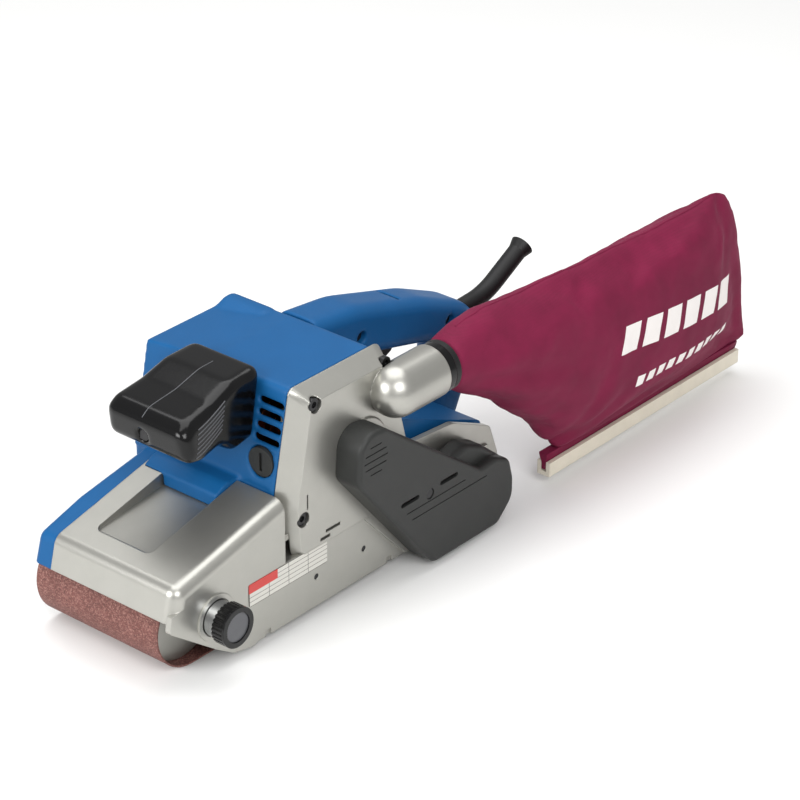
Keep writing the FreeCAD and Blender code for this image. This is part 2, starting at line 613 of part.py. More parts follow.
def toothed(teeth, module, tooth_high, backlash, width, bore, at, phase):
    """A spur wheel with straight-sided teeth; one tooth stands at the phase angle."""
    pitch = teeth * module / 2
    root, tip = pitch - tooth_high * 1.15, pitch + tooth_high * 0.85
    half_pitch = (math.pi * module / 2 - backlash) / 2 / pitch
    points = []
    for i in range(int(teeth)):
        middle = phase + 2 * math.pi * i / teeth
        for radius, share in ((root, -1.45), (tip, -0.55), (tip, 0.55), (root, 1.45)):
            turn = middle + share * half_pitch
            points.append(Vector(radius * math.cos(turn), 0, radius * math.sin(turn)))
    wheel = Part.Face(Part.makePolygon(points + points[:1])).extrude(Vector(0, width, 0))
    wheel = wheel.cut(Part.makeCylinder(bore, width, Vector(), Vector(0, 1, 0)))
    item = doc.addObject("Part::Feature", "wheel")
    item.Shape = wheel
    item.Placement = Placement(Vector(*[float(c) for c in at]), Rotation())
    return item


def motor_parts():
    """The universal motor, the gear pair and the timing belt drive to the rear roller."""
    across = math.atan2(float(s.JackHigh - s.MotorHigh), float(s.JackX - s.MotorX))
    apart = math.hypot(float(s.JackHigh - s.MotorHigh), float(s.JackX - s.MotorX))
    pinion_teeth, gear_teeth = float(s.PinionTeeth), float(s.GearTeeth)
    module = 2 * apart / (pinion_teeth + gear_teeth)
    gear_start = panel_out + s.PanelWall + 1.2
    gear_wide, slack = float(s.GearWide), float(s.GearBacklash)
    shaft, jack = s.ArmatureShaftRadius, s.JackShaftRadius
    motor = (s.MotorX, gear_start, s.MotorHigh)
    counter = (s.JackX, gear_start, s.JackHigh)
    pinion = toothed(pinion_teeth, module, module, slack, gear_wide, float(shaft) / 2, motor, across)
    space = across + math.pi + math.pi / gear_teeth
    node(toothed(gear_teeth, module, module, slack, gear_wide, float(jack), counter, space), "reduction_gear")

    pulley_start = panel_out - s.CoverProud + s.CoverWall + 1.5
    wide, tooth = float(s.PulleyWide), 0.9
    pulley_module = float(s.PulleyPitch) / math.pi
    small, big = float(s.SmallPulleyTeeth), float(s.BigPulleyTeeth)
    small_at = (s.JackX, pulley_start, s.JackHigh)
    big_at = (back_axle, pulley_start, axle_high)
    node(toothed(small, pulley_module, tooth, 0.4, wide, float(jack), small_at, 0), "small_pulley")
    node(toothed(big, pulley_module, tooth, 0.4, wide, float(s.DriveShaftRadius), big_at, 0), "big_pulley")
    reach = float(s.FreeGap) + tooth * 0.85
    tips = [teeth * pulley_module / 2 + reach for teeth in (small, big)]
    ends = [Vector(float(s.JackX), 0, float(s.JackHigh)), Vector(float(back_axle), 0, float(axle_high))]
    loops = []
    for thick in (float(s.TimingThick), 0):
        radii = [tip + thick for tip in tips]
        span = ends[1] - ends[0]
        lean = math.acos((radii[0] - radii[1]) / span.Length)
        heading = math.atan2(span.z, span.x)
        upper = Vector(math.cos(heading + lean), 0, math.sin(heading + lean))
        lower = Vector(math.cos(heading - lean), 0, math.sin(heading - lean))
        along = Vector(math.cos(heading), 0, math.sin(heading))
        top = [end + upper * radius for end, radius in zip(ends, radii)]
        low = [end + lower * radius for end, radius in zip(ends, radii)]
        far = [ends[0] - along * radii[0], ends[1] + along * radii[1]]
        edges = [
            Part.LineSegment(top[0], top[1]).toShape(), Part.Arc(top[1], far[1], low[1]).toShape(),
            Part.LineSegment(low[1], low[0]).toShape(), Part.Arc(low[0], far[0], top[0]).toShape()]
        loops.append(Part.Face(Part.Wire(edges)).extrude(Vector(0, wide, 0)))
    belt = doc.addObject("Part::Feature", "timing")
    belt.Shape = loops[0].cut(loops[1])
    belt.Placement = Placement(Vector(0, float(pulley_start), 0), Rotation())
    node(belt, "timing_belt")

    armature_end = s.ShellRight - s.ShellWall - 1
    node(fuse(cylinder(shaft, armature_end - gear_start, motor), pinion), "armature_shaft")
    plate_start = shell_left + 0.2
    plate_thick = s.BearingWide - 0.5
    plate_end = plate_start + plate_thick
    node(cylinder(jack, plate_end - pulley_start, (s.JackX, pulley_start, s.JackHigh)), "jackshaft")
    commutator_start = -s.BrushOffset - s.CommutatorLong / 2
    high = s.MotorHigh
    node(ring(s.CommutatorRadius, shaft, s.CommutatorLong, (s.MotorX, commutator_start, high)), "commutator")
    core_start = commutator_start + s.CommutatorLong + 16
    node(ring(s.CoreRadius, shaft, s.CoreLong, (s.MotorX, core_start, high)), "armature_core")
    coil = s.CoreRadius - 3
    coils = [ring(coil, shaft, 9, (s.MotorX, core_start - 9, high)),
             ring(coil, shaft, 8, (s.MotorX, core_start + s.CoreLong, high))]
    node(group(*coils), "armature_windings")
    fan_start = core_start + s.CoreLong + 12
    hub = ring(10, shaft, s.FanWide, (s.MotorX, fan_start, high))
    disc = ring(s.FanRadius, 9, 1.5, (s.MotorX, fan_start, high))
    blades = []
    for i in range(9):
        turn = Rotation(Vector(0, 1, 0), 40 * i)
        blade = block((s.MotorX + 9, fan_start + 1, high - 0.8),
                      (s.MotorX + s.FanRadius - 1, fan_start + s.FanWide, high + 0.8))
        centre = Vector(float(s.MotorX), 0, float(high))
        blade.Placement = Placement(Vector(), turn, centre).multiply(blade.Placement)
        for letter in "xyz":
            blade.setExpression(f"Placement.Base.{letter}", None)
        blades.append(blade)
    node(fuse(hub, disc, *blades), "cooling_fan")
    node(ring(s.FieldRadius, s.CoreRadius + s.AirGap, s.CoreLong, (s.MotorX, core_start, high)), "field_core")
    field_coils = []
    for start in (core_start - 8, core_start + s.CoreLong):
        field_coils.append(ring(s.FieldRadius - 3, s.CoreRadius + 1.5, 8, (s.MotorX, start, high)))
    node(group(*field_coils), "field_windings")

    brush_reach = s.CommutatorRadius + 0.3
    tip = 16
    brushes, holders, caps = [], [], []
    for side, face in ((-1, -shell_front(s.MotorHigh)), (1, s.ShellBack)):
        inner = s.MotorX + side * brush_reach
        outer = side * (face - 4)
        low, far = (inner, inner + side * tip) if side > 0 else (inner - tip, inner)
        half_tall, half_wide = 4, 2.5
        brushes.append(block((low, -s.BrushOffset - half_wide, high - half_tall),
                             (far, -s.BrushOffset + half_wide, high + half_tall)))
        start, end = (inner + 2, outer) if side > 0 else (outer, inner - 2)
        tube = cylinder(6, end - start, (start, -s.BrushOffset, high), "X")
        channel = block((start - 1, -s.BrushOffset - half_wide, high - half_tall),
                        (end + 1, -s.BrushOffset + half_wide, high + half_tall))
        holders.append(cut(tube, channel))
        cap_start = face - 4 if side > 0 else -face
        caps.append(cap_start)
    node(group(*brushes), "carbon_brushes")
    node(group(*holders), "brush_holders")
    cap_items = []
    for side, start in zip((-1, 1), caps):
        cap = cylinder(s.CapRadius, 4, (start, -s.BrushOffset, high), "X")
        slot_x = start if side < 0 else start + 2.5
        slot = block((slot_x, -s.BrushOffset - 1, high - 6), (slot_x + 1.5, -s.BrushOffset + 1, high + 6))
        cap_items.append(cut(cap, slot))
    node(group(*cap_items), "brush_caps")

    plate = block((s.MotorX - 26, plate_start, 70), (s.MotorX + 40, plate_end, high + 33))
    holes = [cylinder(s.BearingRadius, plate_thick, (x, plate_start, z))
             for x, z in ((s.MotorX, high), (s.JackX, s.JackHigh))]
    node(cut(plate, *holes), "bearing_plate")
    bearings = [
        ring(s.BearingRadius, shaft + s.RunGap, plate_thick, (s.MotorX, plate_start, high)),
        ring(s.BearingRadius, shaft + s.RunGap, s.BearingWide, (s.MotorX,
                                                                armature_end + 1 - s.BearingWide, high)),
    ]
    bearings += [
        ring(s.BearingRadius, jack + s.RunGap, plate_thick, (s.JackX, plate_start, s.JackHigh)),
        ring(s.BearingRadius, jack + s.RunGap, s.BearingWide, (s.JackX, panel_out - 3, s.JackHigh)),
    ]
    node(group(*bearings), "motor_bearings")


def shell_front(high):
    """Where the leaning front wall of the motor housing stands at a height."""
    lean = 15 / 71
    return -31 - (float(s.ShellTop) - float(high)) * lean


def housing_parts():
    """The blue shells: motor housing, right side cover, rear housing; and the rear roller guard."""
    deck_top = s.DeckLow + s.DeckThick
    foot = 84
    wide = s.ShellRight - shell_left
    shell = pad("XZ", shell_left, wide, [
        (shell_front(foot), foot), (-31, s.ShellTop, 5), (s.ShellBack, s.ShellTop, 5),
        (s.ShellBack, deck_top),
        (2 - s.HoodBack, deck_top), (2 - s.HoodBack, foot)])
    side_top = s.ShellTop - s.RoofFall
    slope = pad("YZ", -80, 160, [(2, s.ShellTop), (s.ShellRight, side_top), (s.ShellRight + 1, side_top),
                                 (s.ShellRight + 1, s.ShellTop + 5), (2, s.ShellTop + 5)])
    step_start = s.ShellRight - 36
    step = pad("XZ", step_start, 36, [
        (s.ShellBack - 22, s.ShellTop - 8), (s.ShellBack - 21, s.ShellTop - s.RoofFall - 0.5),
        (s.ShellBack - 9, s.ShellTop, 12),
        (s.ShellBack, s.ShellTop, 4), (s.ShellBack, s.ShellTop - 8)])
    soften(step, 5, lambda edge: at_plane("Y",
                                          s.ShellRight)(edge) and edge.BoundBox.ZMin > float(s.ShellTop) - 6)
    wall = s.ShellWall
    inside = pad("XZ", shell_left - 1, wide - wall + 1, [
        (shell_front(foot) + wall, foot), (-31 + wall, s.ShellTop - wall - 1, 4),
        (s.ShellBack - wall, s.ShellTop - wall - 1, 4), (s.ShellBack - wall, deck_top - 1),
        (2 + wall - s.HoodBack, deck_top - 1), (2 + wall - s.HoodBack, foot)])
    roof = pad("YZ", -79, 158, [(2, s.ShellTop - wall - 1), (s.ShellRight, side_top - wall - 1),
                                (s.ShellRight + 1, side_top - wall - 1), (s.ShellRight + 1, s.ShellTop + 5),
                                (2, s.ShellTop + 5)])
    hollow = cut(inside, roof)
    boss_end = s.ShellRight - wall
    boss_start = boss_end - s.BearingWide
    boss = cylinder(s.BearingRadius + 3, s.BearingWide + 1, (s.MotorX, boss_start, s.MotorHigh))
    bearing_hole = cylinder(s.BearingRadius, s.BearingWide, (s.MotorX, boss_start, s.MotorHigh))
    louvres = []
    for i in range(4):
        low = 118 + 7.5 * i
        louvres.append(block((-48, -58, low), (-28, -38, low + 4)))
    cap_holes = [cylinder(s.CapRadius, 12, (x, -s.BrushOffset, s.MotorHigh), "X")
                 for x in (shell_front(s.MotorHigh) - 6, s.ShellBack - 8)]
    vent_slot = block((-60, -55, foot + 6), (shell_front(foot) + wall + 1, -36, foot + 8))
    apron_front = -18 - s.HoodBack
    apron_back = 2 + wall - s.HoodBack
    # the foot that runs forward over the hood's recess, and the lip that lies on the hood beside it
    apron = pad("XZ", 0.5 - s.RecessLeft, s.RecessLeft + s.RecessRight - 1, [
        (apron_front, s.HoodRise - s.RecessDeep - 2), (apron_front, s.HoodRise - 4),
        (-9 - s.HoodBack, s.HoodRise + 1.4, 10),
        (apron_back, foot + 8), (apron_back, s.HoodRise - s.RecessDeep + 1.3),
        (-s.HoodBack, s.HoodRise - s.RecessDeep + 1)])
    lip = pad("XZ", 0.5 - s.RecessLeft, s.RecessLeft + s.HoodRight - 1, [
        (apron_front, s.HoodRise - 3.9), (apron_front, s.HoodRise - 3.2),
        (-9 - s.HoodBack, s.HoodRise + 1.4, 10),
        (apron_back, foot + 8), (apron_back, s.HoodRise + 0.4), (-s.HoodBack, s.HoodRise + 0.4)])
    body = fuse(cut(cut(shell, slope), hollow), boss, step, apron, lip)
    node(cut(body, bearing_hole, *louvres, *cap_holes, vent_slot), "motor_housing")

    hood_front = front_axle - s.HoodFront
    slope_front = front_axle - 31
    wide = s.SideCoverOut - s.HoodRight
    side = pad("XZ", s.HoodRight, wide, [
        (hood_front, s.HoodLow), (slope_front, s.HoodNose - 2, 8), (front_axle + 3, 78, 20),
        (-s.HoodBack, 88),
        (-s.HoodBack + 1, deck_top), (back_axle - 4, deck_top), (back_axle - 4, s.HoodLow)])
    soften(side, 5, lambda edge: at_plane("Y", s.SideCoverOut)(edge) and edge.BoundBox.ZMin > 50.5
           and edge.BoundBox.XMax < 1 - float(s.HoodBack) and edge.BoundBox.ZMax > 60)
    pocket(side, "XZ", s.HoodRight, wide - wall, [
        (hood_front + wall, s.HoodLow - 1), (slope_front + wall, s.HoodNose - 6, 5), (front_axle + 3, 74, 16),
        (-s.HoodBack - wall, 83), (-s.HoodBack - wall, s.HoodLow - 1)])
    node(cut(side, stadium(clear_radius, s.HoodRight - 1, s.BeltWide)), "right_side_cover")

    start = shell_left
    wide = s.SideCoverOut - start
    guard_radius = clear_radius + s.CastWall
    rear = pad("XZ", start, wide, [
        (s.ShellBack, deck_top), (s.ShellBack, s.RearTop), (s.RearBack, s.RearEdge, 5),
        (s.RearBack + 8, 46, 4),
        (s.RearBack + 8, 34), (back_axle, 34), (back_axle, deck_top)])
    pocket(rear, "XZ", start + wall, wide - 2 * wall, [
        (s.ShellBack - 1, deck_top - 1), (s.ShellBack - 1, s.RearTop - wall - 1),
        (s.RearBack - 2, s.RearEdge - wall, 4),
        (s.RearBack + 5, 45, 3), (s.RearBack + 5, 33), (back_axle, 33), (back_axle, deck_top - 1)])
    node(cut(rear, cylinder(guard_radius, s.BeltWide * 2, (back_axle, -s.BeltWide, axle_high))),
         "rear_housing")

    guard_wall = pad("XZ", side_in - 2, s.PlateThick, [
        (s.PanelBack, s.SeamHigh), (s.PanelBack, 80, 2), (back_axle + 3, 76.5, 12), (back_axle + 40, 59.5, 6),
        (back_axle + 48, 38, 4), (back_axle + 48, 24), (back_axle + 20, s.SeamHigh)])
    arc_start = side_in + 1
    arc = ring(guard_radius, clear_radius, s.SideCoverOut - arc_start, (back_axle, arc_start, axle_high))
    quarter = block((back_axle - 2, -s.BeltWide, axle_high - 8), (back_axle + 60, s.BeltWide, axle_high + 60))
    wall_cut = cylinder(clear_radius, s.PlateThick, (back_axle, side_in + 1, axle_high))
    under = block((0, side_out - 1, 0), (back_axle + 36.5, side_in + 0.05, s.SeamHigh + 0.1))
    guard = cut(fuse(guard_wall, common(arc, quarter)), wall_cut, under)
    node(guard, "roller_guard")


def handle_outline():
    """One half's outline: front root, top bar and rear post, open below for the fingers."""
    return [
        (s.ShellBack, s.RearTop + 0.1), (s.ShellBack, 155), (82.6, 150.8, 80), (148.4, 131.6, 90),
        (189.5, 113.5, 40),
        (208.7, 93.5, 16), (200, 74, 22), (180, 34), (s.RearBack + 8, 34), (s.RearBack + 8, 47, 10),
        (163, 62, 12),
        (178, 86, 14), (148, 99, 30), (76, 117, 14), (62, s.RearTop - 7.4)]


def handle_parts():
    """The D-handle halves with the switch, trigger, lock-on button, speed dial and cord guard."""
    half = s.HandleWide / 2
    wall = 3.5
    trigger_half = s.TriggerWide / 2 + s.FreeGap
    button_x, button_high = 122, 123
    dial_x, dial_high = 70, 134
    trigger_space = block((95, -trigger_half, 96), (127, trigger_half, 119))
    switch_space = block((92, -9, 118), (130, 9, 137))
    points = [Vector(197, 0, 99.6), Vector(225, 0, 101), Vector(264.6, 0, 122.3)]
    ahead = (points[1] - points[0]).normalize()
    away = (points[2] - points[1]).normalize()
    turn = ahead.getAngle(away)
    reach = 55 * math.tan(turn / 2)
    first, second = points[1] - ahead * reach, points[1] + away * reach
    half_way = points[1] + (away - ahead).normalize() * (55 / math.cos(turn / 2) - 55)
    path = Part.Wire([Part.LineSegment(points[0], first).toShape(), Part.Arc(first, half_way,
        second).toShape(),
                      Part.LineSegment(second, points[2]).toShape()])

    def tube(radius):
        section = Part.Wire(Part.makeCircle(radius, points[0], ahead))
        return path.makePipeShell([section], True, True)

    sleeve = doc.addObject("Part::Feature", "sleeve")
    sleeve.Shape = tube(float(s.GuardRadius)).fuse(
        Part.makeCone(float(s.GuardRadius), float(s.GuardFlare), 6, points[2] - away * 6, away))
    guard = doc.addObject("Part::Feature", "guard")
    guard.Shape = sleeve.Shape.cut(tube(float(s.GuardBore)))
    node(guard, "cord_guard")

    halves = []
    for name, start in (("handle_left", -half), ("handle_right", 0)):
        outer = -half if name == "handle_left" else half
        body = pad("XZ", start, half, handle_outline())
        soften(body, s.HandleRound, lambda edge: at_plane("Y", outer)(edge) and edge.BoundBox.XMax > 45)
        halves.append(body)
    left_screws = [(84, 129.6), (170, 108)]
    sockets = [cylinder(4, 8, (x, -half - 1, high)) for x, high in left_screws]
    dial_hole = cylinder(s.DialRadius + s.FreeGap, s.DialThick + 1, (dial_x, half - s.DialThick, dial_high))
    button_hole = cylinder(s.ButtonRadius + 0.05, half, (button_x, 9, button_high))
    node(cut(halves[0], trigger_space, switch_space, sleeve, *sockets), "handle_left")
    node(cut(halves[1], trigger_space, switch_space, sleeve, dial_hole, button_hole), "handle_right")
    grip_screws.extend(cylinder(3.6, 3, (x, -half + 4, high)) for x, high in left_screws)
    node(block((93, -8.5, 118.3), (129, 8.5, 136)), "switch_body")
    trigger = pad("XZ", -s.TriggerWide / 2, s.TriggerWide, [
        (95.5, 113.8), (95.5, 104, 3), (104, 99, 8), (119, 98, 8), (126.5, 101, 3), (126.5, 113.8)])
    node(trigger, "trigger")
    button_out = half + 3
    node(cylinder(s.ButtonRadius, 5.2, (button_x, button_out - 5.2, button_high)), "lock_button")
    dial = cylinder(s.DialRadius, s.DialThick, (dial_x, half - s.DialThick + 1.2, dial_high))
    notches = []
    for i in range(16):
        turn = math.radians(360 * i / 16)
        notches.append(cylinder(0.8, s.DialThick, (dial_x + s.DialRadius * math.cos(turn),
                                                   half - s.DialThick + 1.2,
                                                   dial_high + s.DialRadius * math.sin(turn))))
    node(cut(dial, *notches), "speed_dial")
    node(block((64, -20, 66), (98, 20, 76)), "speed_module")


def grip_parts():
    """The black front grip, split along its length, with the screw in its nose."""
    split = s.GripSeam.value
    outline = [
        (shell_front(120) - 0.2, 118, 4), (shell_front(163) - 0.2, 163, 4), (-56, 162.5, 12),
        (-76, 157, 14), (-98, 154.5, 10),
        (-s.GripNose, 149, 6), (-s.GripNose + 2, 131, 6), (-92, 127.5, 10), (-73, 128.5, 10), (-58, 118, 8)]
    hole = cylinder(4, 7, (-s.GripNose - 1, split, 138), "X")
    for name, start, wide, outer in (
            ("grip_left", -s.GripLeft, split + s.GripLeft, -s.GripLeft),
            ("grip_right", split, s.GripRight - split, s.GripRight)):
        body = pad("XZ", start, wide, outline)
        soften(body, s.GripRound, lambda edge: at_plane("Y", outer)(edge) and edge.BoundBox.XMin < -48)
        lean = pad("XZ", -s.GripLeft - 1, s.GripLeft + s.GripRight + 2, [
            (shell_front(110), 110), (shell_front(170), 170), (0, 170), (0, 110)])
        node(cut(body, lean, hole), name)
    grip_screws.append(cylinder(3.6, 3, (-s.GripNose + 3, split, 138), "X"))
    node(group(*grip_screws), "grip_screws")


def bag_parts():
    """The dust collar on the nozzle, the cloth bag that hangs from it and the rail that shuts the bag."""
    y, high = panel_out - s.NozzleProud, s.NozzleHigh
    flange = s.NozzleBack + 0.3
    spigot_radius = s.NozzleBore - 0.05
    collar = fuse(cylinder(s.CollarRadius, s.CollarLong, (flange, y, high), "X"),
                  cylinder(spigot_radius, s.SpigotLong + 0.3, (flange - s.SpigotLong - 0.3, y, high), "X"))
    bore = cylinder(s.CollarBore, s.CollarLong + s.SpigotLong + 1, (flange - s.SpigotLong - 0.5, y,
                                                                    high), "X")
    node(cut(collar, bore), "dust_collar")
    neck_start = flange + s.CollarLong + s.FreeGap
    node(ring(s.CollarRadius, s.CollarBore, s.NeckLong, (neck_start, y, high), "X"), "bag_neck_ring")

    bag_start = float(neck_start + s.NeckLong)
    top, back, full = float(s.BagTop), float(s.BagBack), float(s.BagFull)
    rail_top = float(s.RailLow + s.RailWide) + 0.6
    neck = float(s.CollarRadius)
    centre = float(high)
    front = float(s.RailFront)
    stations = [
        (bag_start, centre - neck, centre + neck, neck), (bag_start + 34, 84, top - 2, neck + 5),
        (front - 4, rail_top + 8, top, full), (front + 24, rail_top + 0.6, top - 1, full),
        ((front + back) / 2, rail_top + 0.6, top - 5, full - 2),
        (back - 33, rail_top + 0.6, top - 9, full * 0.55),
        (back - 14, rail_top + 0.6, top - 62, full * 0.36),
        (back - 2, rail_top + 1, rail_top + 30, full * 0.2)]
    sections = []
    for x, low, peak, half in stations:
        middle = Vector(x, float(panel_out - s.NozzleProud), (low + peak) / 2)
        tall = (peak - low) / 2
        if tall > half:
            oval = Part.Ellipse(middle + Vector(0, 0, tall), middle + Vector(0, half, 0), middle)
            sections.append(Part.Wire(oval.toShape()))
        else:
            circle = Part.makeCircle(half - 0.01, middle, Vector(1, 0, 0))
            circle.rotate(middle, Vector(1, 0, 0), 90)
            sections.append(Part.Wire(circle))
    bag = doc.addObject("Part::Feature", "bag")
    bag.Shape = Part.makeLoft(sections, True, True)
    node(bag, "dust_bag")
    half = s.RailWide / 2
    rail = block((s.RailFront, y - half, s.RailLow), (s.RailBack, y + half, s.RailLow + s.RailWide))
    slot = block((s.RailFront - 1, y - s.RailSlot / 2, s.RailLow + 3),
                 (s.RailBack + 1, y + s.RailSlot / 2, 100))
    node(cut(rail, slot), "bag_rail")


sanding_parts()
tension_parts()
frame_parts()
tracking_parts()
gear_cover_parts()
motor_parts()
housing_parts()
handle_parts()
grip_parts()
bag_parts()
doc.recompute()

for item in doc.Objects:
    if "Invalid" in item.State or "Error" in item.State:
        raise ValueError(f"{item.Label} ({item.Name}) did not rebuild")
for item in nodes:
    if item.Shape.isNull() or not item.Shape.isValid():
        raise ValueError(f"{item.Label} has no valid shape")

os.makedirs("parts", exist_ok=True)
for item in nodes:
    item.Shape.exportStep(f"parts/{item.Label}.step")
print(len(nodes), "sub-parts written")
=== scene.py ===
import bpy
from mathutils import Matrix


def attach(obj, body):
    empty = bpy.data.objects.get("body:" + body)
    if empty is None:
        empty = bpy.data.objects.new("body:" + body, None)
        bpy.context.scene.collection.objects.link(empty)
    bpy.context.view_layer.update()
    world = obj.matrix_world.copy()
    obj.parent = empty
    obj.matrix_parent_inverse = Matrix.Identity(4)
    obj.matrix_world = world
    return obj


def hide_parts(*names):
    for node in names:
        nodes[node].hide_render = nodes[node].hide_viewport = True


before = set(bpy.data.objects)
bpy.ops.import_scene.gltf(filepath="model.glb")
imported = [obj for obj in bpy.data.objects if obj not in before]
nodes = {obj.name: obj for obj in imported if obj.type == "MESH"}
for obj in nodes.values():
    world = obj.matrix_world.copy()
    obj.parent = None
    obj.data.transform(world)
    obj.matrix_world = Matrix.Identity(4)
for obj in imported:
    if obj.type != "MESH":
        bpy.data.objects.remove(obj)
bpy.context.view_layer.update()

import math

import bmesh
import bpy
from mathutils import Matrix, Vector, noise
from mathutils.bvhtree import BVHTree

mm = 0.001
bpy.ops.object.select_all(action="DESELECT")


# the viewpoint: place in metres, the three axes of the camera and its lens in mm
view = {"at": (-1.23316, -1.16067, 1.02926), "right": (0.64672184, -0.76271976, 0.00307055),
        "up": (0.3610246, 0.30965958, 0.87964321), "back": (-0.67187209, -0.56777593, 0.47562421),
        "lens": 142.9, "sensor": 36}
cameraData = bpy.data.cameras.new("camera")
cameraData.lens = view["lens"]
cameraData.sensor_width = view["sensor"]
camera = bpy.data.objects.new("camera", cameraData)
turn = Matrix([view["right"], view["up"], view["back"]]).transposed()
camera.matrix_world = Matrix.Translation(view["at"]) @ turn.to_4x4()
bpy.context.scene.collection.objects.link(camera)
bpy.context.scene.camera = camera


def hexColour(text):
    # sRGB hex to linear
    parts = [int(text[i:i + 2], 16) / 255 for i in (0, 2, 4)]
    return [p / 12.92 if p <= 0.04045 else ((p + 0.055) / 1.055) ** 2.4 for p in parts] + [1]


def addNode(tree, kind, inputs=None, **settings):
    # one shader node with its settings; an input is a value or another node's socket
    node = tree.nodes.new("ShaderNode" + kind)
    for name, value in settings.items():
        setattr(node, name, value)
    for name, value in (inputs or {}).items():
        if isinstance(value, bpy.types.NodeSocket):
            tree.links.new(value, node.inputs[name])
        else:
            node.inputs[name].default_value = value
    return node


def newMaterial(name):
    # an empty material: its nodes, its shader and where each point is on the piece
    material = bpy.data.materials.new(name)
    material.use_nodes = True
    tree = material.node_tree
    return material, tree, tree.nodes["Principled BSDF"], addNode(tree, "TexCoord").outputs["Object"]


# how far clouds shift a colour, how far grain shifts the roughness, and how bevel angle turns into wear
surface = {"cloudShift": 3, "grainShift": 0.05, "wearFrom": 0.97, "wearTo": 0.72, "paler": 1.7, "lift": 0.06}


def makeFinish(name, colour, rough, mottle, grain, edge, wear=0.0, shader=None):
    # a moulded, cast or machined surface: cloudy colour, a fine grain, rounded edges and rubbed corners
    # mottle is size in mm and share, grain is size and height in mm, edge is the corner radius in mm
    material, tree, bsdf, spot = newMaterial(name)
    colour = hexColour(colour)[:3]
    cloud = addNode(tree, "TexNoise", {"Vector": spot, "Scale": 1 / (mottle[0] * mm), "Detail": 4.0,
                                       "Roughness": 0.6})
    fine = addNode(tree, "TexNoise", {"Vector": spot, "Scale": 1 / (grain[0] * mm), "Detail": 3.0,
                                      "Roughness": 0.55})
    shift = surface["cloudShift"] * mottle[1]
    light = [min(1, c * (1 + shift)) for c in colour] + [1]
    dark = [c * (1 - shift) for c in colour] + [1]
    tone = addNode(tree, "Mix", {6: dark, 7: light, 0: cloud.outputs["Fac"]}, data_type="RGBA").outputs[2]
    bevel = addNode(tree, "Bevel", {"Radius": edge * mm}, samples=4)
    if wear:
        faceNormal = addNode(tree, "NewGeometry").outputs["Normal"]
        flat = addNode(tree, "VectorMath", {0: bevel.outputs[0], 1: faceNormal}, operation="DOT_PRODUCT")
        rub = addNode(tree, "MapRange", {"Value": flat.outputs["Value"], "From Min": surface["wearFrom"],
                                         "From Max": surface["wearTo"], "To Max": wear})
        broken = addNode(tree, "Math", {0: rub.outputs[0], 1: cloud.outputs["Fac"]}, operation="MULTIPLY")
        pale = [min(1, c * surface["paler"] + surface["lift"]) for c in colour] + [1]
        tone = addNode(tree, "Mix", {0: broken.outputs[0], 6: tone, 7: pale}, data_type="RGBA").outputs[2]
    tree.links.new(tone, bsdf.inputs["Base Color"])
    satin = addNode(tree, "MapRange", {"Value": fine.outputs["Fac"], "To Min": rough - surface["grainShift"],
                                       "To Max": rough + surface["grainShift"]})
    tree.links.new(satin.outputs[0], bsdf.inputs["Roughness"])
    bump = addNode(tree, "Bump", {"Height": fine.outputs["Fac"], "Distance": grain[1] * mm,
                                  "Normal": bevel.outputs[0]})
    tree.links.new(bump.outputs[0], bsdf.inputs["Normal"])
    for key, value in (shader or {}).items():
        bsdf.inputs[key].default_value = value
    return material


